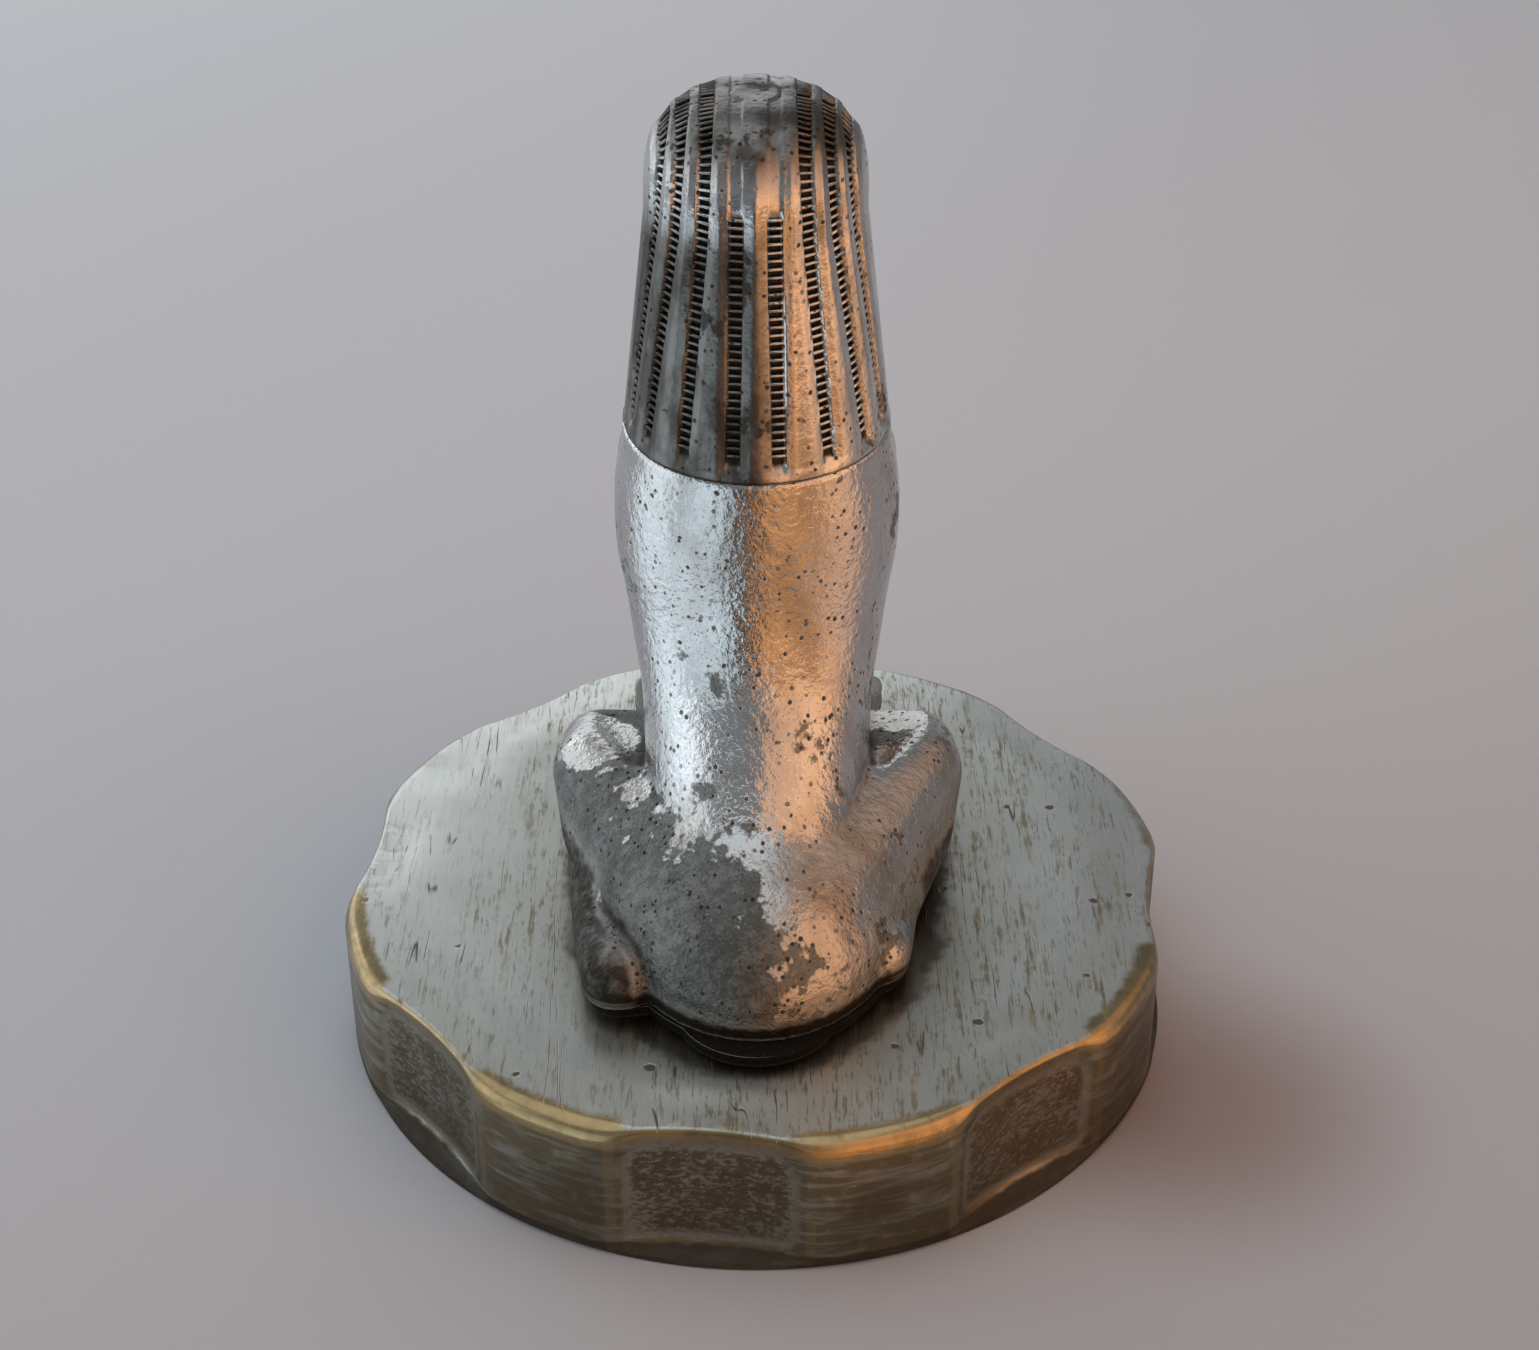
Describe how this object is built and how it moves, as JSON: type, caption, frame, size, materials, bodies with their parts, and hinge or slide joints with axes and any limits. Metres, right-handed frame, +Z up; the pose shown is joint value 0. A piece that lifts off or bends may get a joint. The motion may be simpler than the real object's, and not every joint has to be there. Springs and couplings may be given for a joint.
{
  "type": "car mascot",
  "caption": "Radiator cap mascot: a seated sphinx-like figure with a plaited headdress on a scalloped screw cap, held by a stud and nut so that it can be turned to face forward.",
  "frame": {"origin": "middle of the cap's lower rim, on the axis of the neck thread", "axes": "+Z up along the thread's and the stud's axis; the figure faces -Y; +X is on the figure's left-hand side as seen from behind"},
  "size_m": [0.0754, 0.0754, 0.0865],
  "materials": {
    "cap_nickel": "worn dull nickel plate, brushed and scratched, brass showing on the edges",
    "figure_nickel": "bright nickel plate with black pits and dull worn patches",
    "headdress_nickel": "bright nickel plate with blackened grooves",
    "plate_nickel": "nickel plate, grimy",
    "stud_brass": "dull brass",
    "sheet_brass": "dull pressed sheet brass",
    "spring_steel": "dark spring steel",
    "cork": "matte cork",
    "gasket_paper": "oiled gasket paper",
    "red_fibre": "vulcanised fibre"
  },
  "bodies": {
    "cap": {"cap_shell": "cap_nickel", "neck_gasket": "cork", "baffle_disc": "sheet_brass"},
    "figure": {"figure_body": "figure_nickel", "headdress": "headdress_nickel", "base_plate": "plate_nickel", "seat_gasket": "gasket_paper", "mounting_stud": "stud_brass", "fibre_washer": "red_fibre", "plain_washer": "stud_brass", "lock_washer": "spring_steel", "stud_nut": "stud_brass"}
  },
  "joints": [
    {"name": "figure_turn", "type": "hinge", "parent": "cap", "child": "figure", "pos_m": [0, 0, 0.014], "axis": [0, 0, 1], "continuous": true}
  ]
}
